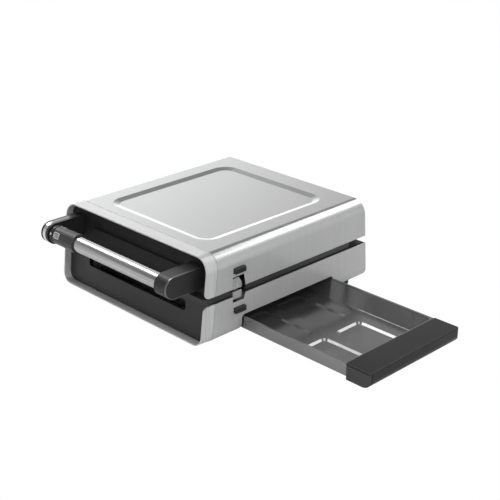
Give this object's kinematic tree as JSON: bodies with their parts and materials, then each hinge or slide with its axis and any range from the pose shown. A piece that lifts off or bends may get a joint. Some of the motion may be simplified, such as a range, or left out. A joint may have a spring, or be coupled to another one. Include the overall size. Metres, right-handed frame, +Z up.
{
  "type": "contact grill",
  "caption": "Countertop contact grill: hinged lid with bar handle and dial, floating hinge, lift-out ribbed plates, side drip tray and release buttons.",
  "frame": {"origin": "on the surface that the grill stands on, under the middle of the body at its bottom edge", "axes": "+X to the right along the handle and out along the drip tray, -Y to the front where the handle is, +Z up"},
  "size_m": [0.6103, 0.4333, 0.1524],
  "materials": {
    "brushed_sheet": "brushed stainless steel sheet",
    "black_fascia": "satin dark plastic",
    "dark_trim": "satin dark grey plastic",
    "heat_plastic": "matt heat-resistant plastic",
    "cast_plate": "cast aluminium, dark non-stick coating",
    "galvanised": "galvanised sheet steel",
    "element_tube": "oxidised steel tube",
    "bright_sheet": "bright aluminised sheet",
    "steel_part": "plain steel",
    "spring_steel": "drawn spring steel",
    "tray_metal": "dark grey non-stick coating on pressed metal",
    "rubber_foot": "matt black rubber",
    "gland_rubber": "matt black rubber",
    "screw_steel": "zinc-plated steel",
    "chrome_trim": "polished metal",
    "tube_steel": "brushed stainless steel tube",
    "dial_plastic": "satin dark plastic",
    "ceramic": "glazed ceramic",
    "wire_sleeve": "silicone-sleeved wire",
    "tab_steel": "plain stainless steel"
  },
  "bodies": {
    "base": {"base_housing": "brushed_sheet", "base_front_bezel": "brushed_sheet", "base_front_panel": "black_fascia", "base_rear_cover": "heat_plastic", "base_rim": "heat_plastic", "base_chassis": "galvanised", "lower_plate": "cast_plate", "lower_plate_tab": "tab_steel", "lower_heating_element": "element_tube", "lower_reflector": "bright_sheet", "lower_element_clips": "galvanised", "lower_thermostat": "ceramic", "thermal_fuse": "ceramic", "terminal_block": "ceramic", "base_wiring": "wire_sleeve", "cord_gland": "gland_rubber", "tray_rails": "galvanised", "feet": "rubber_foot", "foot_screws": "screw_steel", "base_cover_screws": "screw_steel", "hinge_guides": "galvanised", "lower_release_spring": "spring_steel"},
    "lower_button": {"lower_release_button": "dark_trim", "lower_release_latch": "steel_part"},
    "tray": {"drip_tray": "tray_metal", "tray_handle": "dark_trim", "tray_handle_screws": "screw_steel"},
    "carriage": {"hinge_arms": "steel_part", "hinge_link_bar": "steel_part", "hinge_pins": "steel_part"},
    "lid": {"lid_housing": "brushed_sheet", "lid_front_bezel": "brushed_sheet", "lid_front_panel": "black_fascia", "lid_rear_cover": "heat_plastic", "lid_rim": "dark_trim", "lid_chassis": "galvanised", "upper_plate": "cast_plate", "upper_plate_tab": "tab_steel", "upper_heating_element": "element_tube", "upper_reflector": "bright_sheet", "upper_element_clips": "galvanised", "upper_thermostat": "ceramic", "lid_wiring": "wire_sleeve", "hinge_leaves": "steel_part", "hinge_screws": "screw_steel", "lid_cover_screws": "screw_steel", "handle_arm_left": "black_fascia", "handle_arm_right": "black_fascia", "handle_arm_trims": "chrome_trim", "handle_tube": "tube_steel", "handle_core_rod": "steel_part", "handle_left_cap": "dark_trim", "handle_screws": "screw_steel", "rotary_switch": "heat_plastic", "upper_release_spring": "spring_steel"},
    "upper_button": {"upper_release_button": "dark_trim", "upper_release_latch": "steel_part"},
    "dial": {"control_dial": "dial_plastic", "dial_shaft": "heat_plastic"}
  },
  "joints": [
    {"name": "lower_button_press", "type": "slide", "parent": "base", "child": "lower_button", "axis": [-1, 0, 0], "range_m": [0, 0.004], "stiffness_N_per_m": 500, "springref_m": -0.003, "deforming": ["lower_release_spring"]},
    {"name": "tray_slide", "type": "slide", "parent": "base", "child": "tray", "axis": [1, 0, 0], "range_m": [-0.258, 0.08]},
    {"name": "hinge_float", "type": "slide", "parent": "base", "child": "carriage", "axis": [0, 0, 1], "range_m": [0, 0.018]},
    {"name": "lid_hinge", "type": "hinge", "parent": "carriage", "child": "lid", "pos_m": [0, 0.1875, 0.08275], "axis": [-1, 0, 0], "range_deg": [0, 180]},
    {"name": "upper_button_press", "type": "slide", "parent": "lid", "child": "upper_button", "axis": [-1, 0, 0], "range_m": [0, 0.004], "stiffness_N_per_m": 500, "springref_m": -0.003, "deforming": ["upper_release_spring"]},
    {"name": "dial_turn", "type": "hinge", "parent": "lid", "child": "dial", "pos_m": [-0.115, -0.2225, 0.1172], "axis": [1, 0, 0], "range_deg": [0, 240]}
  ]
}
